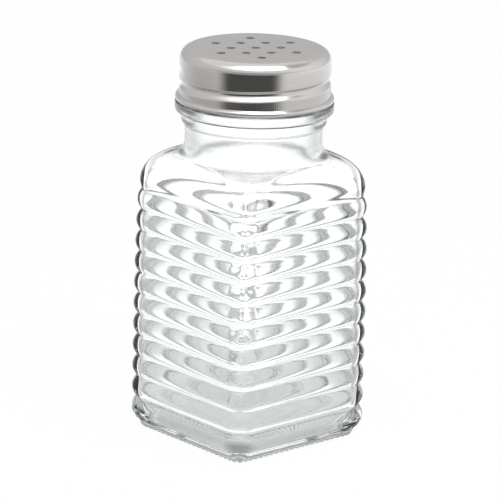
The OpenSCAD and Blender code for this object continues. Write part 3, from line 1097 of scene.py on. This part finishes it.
def clear_glass(finish):
    """Clear pressed glass, slightly uneven, a little green where it is thick."""
    material, tree, shader, output, place = new_material("clear_glass")
    mask, rough = uneven(tree, place, scale=60.0, detail=2.0, low=0.04, high=0.08)
    wave, _ = uneven(tree, place, scale=130.0, detail=1.0)
    height = split(tree, place)["Z"]
    stipple = ranged(tree, height, *STIPPLE_STEP, STIPPLE_ROUGH, 0.0)
    neck = ranged(tree, height, *NECK_STEP, 0.0, NECK_ROUGH)
    look = {
        "Base Color": mixed(tree, mask, finish.glass_clear, finish.glass_shade),
        "Roughness": math_node(tree, "MAXIMUM", rough, math_node(tree, "MAXIMUM", stipple, neck)),
        "Normal": bump(tree, wave, strength=0.12, distance=0.2 * MM),
        "IOR": GLASS_IOR,
        "Transmission Weight": 1.0,
    }
    feed(tree, shader, look)
    thick = {"Color": finish.glass_depth, "Density": GLASS_DENSITY}
    feed(tree, output, {"Volume": result(tree, "ShaderNodeVolumeAbsorption", thick)})
    return material


def spun_steel(finish):
    """Satin stainless steel with fine lines round the axis."""
    material, tree, shader, _, place = new_material("spun_steel")
    calc = partial(math_node, tree)
    parts = split(tree, place)
    squares = [calc("MULTIPLY", parts[axis], parts[axis]) for axis in "XY"]
    radius = calc("SQRT", calc("ADD", *squares))
    turned = joined(tree, X=radius, Y=parts["Z"])
    lines, rough = uneven(tree, turned, scale=1400.0, detail=3.0, low=0.14, high=0.19)
    blotch, _ = uneven(tree, place, scale=90.0, detail=3.0)
    both = blended(tree, BLOTCH_SHARE, lines, blotch)
    sheet = mixed(tree, both, finish.steel_light, finish.steel_dark)
    # The hole walls and the cap's inside are rougher, as cut steel, and darker, which is painted
    # shade.
    below = calc("LESS_THAN", parts["Z"], cap_high.z - PUNCH_SHADE_BELOW)
    punched_and_shaded = calc("MULTIPLY", below, calc("LESS_THAN", radius, PUNCH_SHADE_RADIUS))
    look = {
        "Base Color": mixed(tree, punched_and_shaded, sheet, finish.steel_cut_and_shade),
        "Roughness": calc("MULTIPLY_ADD", punched_and_shaded, PUNCH_ROUGH, rough),
        "Normal": bump(tree, lines, strength=0.004, distance=0.02 * MM),
        "Metallic": 1.0,
    }
    feed(tree, shader, look)
    return material


def liner_plastic(finish):
    """Soft pale plastic of the liner, slightly uneven."""
    material, tree, shader, _, place = new_material("liner_plastic")
    mask, rough = uneven(tree, place, scale=400.0, detail=4.0, low=0.5, high=0.65)
    look = {
        "Base Color": mixed(tree, mask, finish.liner_pale, finish.liner_dull),
        "Roughness": rough,
        "Normal": bump(tree, mask, strength=0.2, distance=0.03 * MM),
    }
    feed(tree, shader, look)
    return material


# The stage

SIDES = ("Front", "Right", "Back", "Left")
# Where the surroundings change over from one level to the next
SKY_STEPS = ((0.2, 0.3), (0.6, 0.7))  # heights in the sky
NEAR_STEP = (0.03, 0.09)  # distances on the floor, in metres
FAR_STEP = (0.37, 0.41)
FLAT_STEP = (0.57, 0.75)  # how flat the floor is seen through the glass
TINT_STEP = (0.22, 0.45)  # brightness at which the tint in the glass changes
# Floor and dark room, in metres
WHITE = (1.0, 1.0, 1.0, 1.0)
PAPER_LIGHT = (0.92, 0.92, 0.92, 1.0)
PAPER_DULL = (0.9, 0.9, 0.9, 1.0)
PAPER_GLOW = 1.02  # brightness that the camera sees on the paper
PAPER_COVER = 0.93  # how much of the shadow that brightness covers
FLOOR_HALF = 3.0
FLOOR_DROP = 0.05 * MM
ROOM_FAR = 2.5
ROOM_LIFT = 0.5 * MM


def sides_group():
    """Shader group that gives a direction its brightness from four sides."""
    name = "studio_sides"
    if name in bpy.data.node_groups:
        return bpy.data.node_groups[name]
    inputs = {"Vector": "Vector", **dict.fromkeys(SIDES, "Float")}
    tree, given = new_group(name, "ShaderNodeTree", inputs, {"Level": "Float"})
    flat = vector_node(tree, "MULTIPLY", given["Vector"], (1.0, 1.0, 0.0))
    way = vector_node(tree, "NORMALIZE", flat)
    turned = bpy.context.scene.salt_shaker.stage.camera_turn
    front = Vector((math.sin(turned), -math.cos(turned), 0.0))
    right = Vector((math.cos(turned), math.sin(turned), 0.0))
    total = 0.0
    for label, side in zip(SIDES, (front, right, -front, -right)):
        dot = vector_node(tree, "DOT_PRODUCT", way, side, output="Value")
        lobe = math_node(tree, "POWER", math_node(tree, "MAXIMUM", dot, 0.0), 2.0)
        total = math_node(tree, "MULTIPLY_ADD", lobe, given[label], total)
    add_node(tree, "NodeGroupOutput", {"Level": total})
    return tree


def studio_level(tree, vector, levels):
    """Brightness of the surroundings in a direction."""
    values = dict(zip(SIDES, levels), Vector=vector)
    return result(tree, "ShaderNodeGroup", values, node_tree=sides_group())


def stepped(tree, value, low, high):
    """Smooth step of a value from 0 to 1."""
    return ranged(tree, value, low, high, kind="SMOOTHSTEP")


def banded(tree, measure, steps, levels):
    """Brightness that changes over from level to level where a measure passes the steps."""
    shown = levels[0]
    for (low, high), following in zip(steps, levels[1:]):
        shown = blended(tree, stepped(tree, measure, low, high), shown, following)
    return shown


def shown_tint(tree, stage, path, shown):
    """White, but in the glass a tint that changes from dim to bright surroundings."""
    tone = mixed(tree, stepped(tree, shown, *TINT_STEP), stage.dim_tint, stage.bright_tint)
    return mixed(tree, path["Is Transmission Ray"], WHITE, tone)


def make_world(stage):
    """White background to the camera, and a studio with softboxes in steel and glass."""
    world = bpy.data.worlds.new("studio")
    bpy.context.scene.world = world
    world.use_nodes = True
    tree = world.node_tree
    tree.nodes.clear()
    way = add_node(tree, "ShaderNodeTexCoord").outputs["Generated"]
    up = split(tree, way)["Z"]
    path = add_node(tree, "ShaderNodeLightPath").outputs
    shown = stage.ambient
    for ray, bands in (
        ("Is Glossy Ray", (stage.steel_low, stage.steel_mid, stage.steel_high)),
        ("Is Transmission Ray", (stage.glass_low, stage.glass_mid, stage.glass_high)),
    ):
        levels = [studio_level(tree, way, band) for band in bands]
        shown = blended(tree, path[ray], shown, banded(tree, up, SKY_STEPS, levels))
    shown = blended(tree, path["Is Camera Ray"], shown, 1.0)
    tone = shown_tint(tree, stage, path, shown)
    light = result(tree, "ShaderNodeBackground", {"Color": tone, "Strength": shown})
    add_node(tree, "ShaderNodeOutputWorld", {"Surface": light})


def floor_paper(stage):
    """White paper that keeps a faint shadow, and shows its own levels in steel and glass."""
    material, tree, shader, output, place = new_material("floor_paper")
    mask, rough = uneven(tree, place, scale=30.0, detail=2.0, low=0.6, high=0.7)
    paper = {"Base Color": mixed(tree, mask, PAPER_LIGHT, PAPER_DULL), "Roughness": rough}
    feed(tree, shader, paper)
    away = vector_node(tree, "LENGTH", place, output="Value")
    flatness = add_node(tree, "ShaderNodeLayerWeight", {"Blend": 0.5}).outputs["Facing"]
    path = add_node(tree, "ShaderNodeLightPath").outputs
    steel = (stage.steel_near, stage.steel_close, stage.steel_far)
    glass = (stage.glass_near, stage.glass_close, stage.glass_far)
    shown = PAPER_GLOW
    for ray, measure, step, bands in (
        ("Is Glossy Ray", away, FAR_STEP, steel),
        ("Is Transmission Ray", flatness, FLAT_STEP, glass),
    ):
        near, close, far = (studio_level(tree, place, band) for band in bands)
        wide = banded(tree, measure, (step,), (close, far))
        shown = blended(tree, path[ray], shown, banded(tree, away, (NEAR_STEP,), (near, wide)))
    tone = shown_tint(tree, stage, path, shown)
    glow = result(tree, "ShaderNodeEmission", {"Color": tone, "Strength": shown})
    seen = math_node(tree, "MULTIPLY", path["Is Camera Ray"], PAPER_COVER)
    mirrored = math_node(tree, "MAXIMUM", path["Is Glossy Ray"], path["Is Transmission Ray"])
    cover = {0: math_node(tree, "MAXIMUM", seen, mirrored), 1: shader.outputs[0], 2: glow}
    feed(tree, output, {"Surface": result(tree, "ShaderNodeMixShader", cover)})
    return material


def around(front, angle, distance, z):
    """A point on the stage, by its direction from the front, its distance and its height."""
    a = front + angle
    return (distance * math.cos(a), distance * math.sin(a), z)


def dark_room(stage, front):
    """Dark patch of floor in front, which only the steel shows."""
    start, end, soft = stage.room_start, stage.room_end, stage.room_soft
    near, far = stage.room_distance, ROOM_FAR
    corners = [
        around(front, angle, distance, ROOM_LIFT)
        for angle, distance in ((start, near), (start, far), (end, far), (end, near))
    ]
    card = new_object("dark_room", corners, [(0, 1, 2, 3)])
    material = bpy.data.materials.new("dark_room")
    material.use_nodes = True
    tree = material.node_tree
    tree.nodes.clear()
    place = add_node(tree, "ShaderNodeTexCoord").outputs["Object"]
    parts = split(
        tree, result(tree, "ShaderNodeVectorRotate", {"Vector": place, "Angle": -front})
    )
    angle = math_node(tree, "ARCTAN2", parts["Y"], parts["X"])
    after = stepped(tree, angle, start, start + soft)
    before = stepped(tree, math_node(tree, "MULTIPLY", angle, -1.0), -end, soft - end)
    cover = {
        0: math_node(tree, "MULTIPLY", after, before),
        1: result(tree, "ShaderNodeBsdfTransparent"),
        2: result(tree, "ShaderNodeEmission", {"Strength": stage.room_tone}),
    }
    shade = result(tree, "ShaderNodeMixShader", cover)
    add_node(tree, "ShaderNodeOutputMaterial", {"Surface": shade})
    card.data.materials.append(material)
    card.visible_camera = False
    card.visible_diffuse = False
    card.visible_transmission = False
    card.visible_shadow = False


def area_lamp(name, place, aim, size, power):
    """Soft square lamp."""
    data = bpy.data.lights.new(name, "AREA")
    data.shape = "SQUARE"
    data.size = size
    data.energy = power
    lamp = bpy.data.objects.new(name, data)
    lamp.location = place
    lamp.rotation_euler = (Vector(aim) - Vector(place)).to_track_quat("-Z", "Y").to_euler()
    bpy.context.scene.collection.objects.link(lamp)


def photo_camera(stage, back):
    """Camera that looks at the shaker from the direction back, as in the photograph."""
    turned = stage.camera_turn
    right = Vector((math.cos(turned), math.sin(turned), 0.0))
    aim = right * stage.aim_side + Vector((0, 0, stage.aim_height))
    data = bpy.data.cameras.new("photo_camera")
    data.lens = stage.lens
    data.sensor_width = 36.0
    data.clip_start, data.clip_end = 0.01, 20.0
    camera = bpy.data.objects.new("photo_camera", data)
    camera.rotation_mode = "QUATERNION"
    camera.location = aim + back * stage.camera_distance
    facing = (-back).to_track_quat("-Z", "Y").to_matrix()
    rolled = facing @ Matrix.Rotation(stage.camera_roll, 3, "Z")
    camera.rotation_quaternion = rolled.to_quaternion()
    bpy.context.scene.collection.objects.link(camera)
    bpy.context.scene.camera = camera


class SHAKER_OT_stage(bpy.types.Operator):
    """Makes the floor, the light, the cards and the camera"""

    bl_idname = "shaker.stage"
    bl_label = "Stage"

    def execute(self, context):
        stage = context.scene.salt_shaker.stage
        context.scene.view_settings.view_transform = "Standard"
        make_world(stage)
        wide, low = FLOOR_HALF, -FLOOR_DROP
        corners = [(-wide, -wide, low), (wide, -wide, low), (wide, wide, low), (-wide, wide, low)]
        floor = new_object("floor", corners, [(0, 1, 2, 3)])
        floor.data.materials.append(floor_paper(stage))
        turned, tilt = stage.camera_turn, stage.camera_tilt
        level = math.cos(tilt)
        back = Vector((math.sin(turned) * level, -math.cos(turned) * level, math.sin(tilt)))
        front = math.atan2(back.y, back.x)
        dark_room(stage, front)
        overhead = around(front, math.radians(25), distance=0.35, z=0.9)
        area_lamp("overhead_softbox", overhead, aim=(0, 0, 0.05), size=0.7, power=4.0)
        photo_camera(stage, back)
        return {"FINISHED"}


class SHAKER_PT_sidebar(bpy.types.Panel):
    """Lists the shaker's steps and settings"""

    bl_idname = "SHAKER_PT_sidebar"
    bl_label = "Salt shaker"
    bl_space_type = "VIEW_3D"
    bl_region_type = "UI"
    bl_category = "Shaker"

    def draw(self, context):
        layout = self.layout
        for step in STEPS:
            layout.operator(step.bl_idname)
        settings = context.scene.salt_shaker
        for label, group in (
            ("Jar", settings.jar),
            ("Cap", settings.cap),
            ("Finish", settings.finish),
            ("Stage", settings.stage),
        ):
            box = layout.box()
            box.label(text=label)
            for name in group.__annotations__:
                box.prop(group, name)


STEPS = (
    SHAKER_OT_glass_jar,
    SHAKER_OT_liner_ring,
    SHAKER_OT_steel_cap,
    SHAKER_OT_cap_knurl,
    SHAKER_OT_stage,
)
CLASSES = (
    JarSizes,
    CapSizes,
    Finishes,
    StageSettings,
    ShakerSettings,
    *STEPS,
    SHAKER_PT_sidebar,
)


def register():
    """Registers the classes and the scene's settings."""
    for item in CLASSES:
        bpy.utils.register_class(item)
    bpy.types.Scene.salt_shaker = PointerProperty(type=ShakerSettings)


def unregister():
    """Takes back what register did."""
    del bpy.types.Scene.salt_shaker
    for item in reversed(CLASSES):
        bpy.utils.unregister_class(item)


def main():
    """Builds the shaker and its stage."""
    register()
    bpy.ops.shaker.glass_jar()
    bpy.ops.shaker.liner_ring()
    bpy.ops.shaker.steel_cap()
    bpy.ops.shaker.cap_knurl()
    bpy.ops.shaker.stage()


if __name__ == "__main__":
    main()
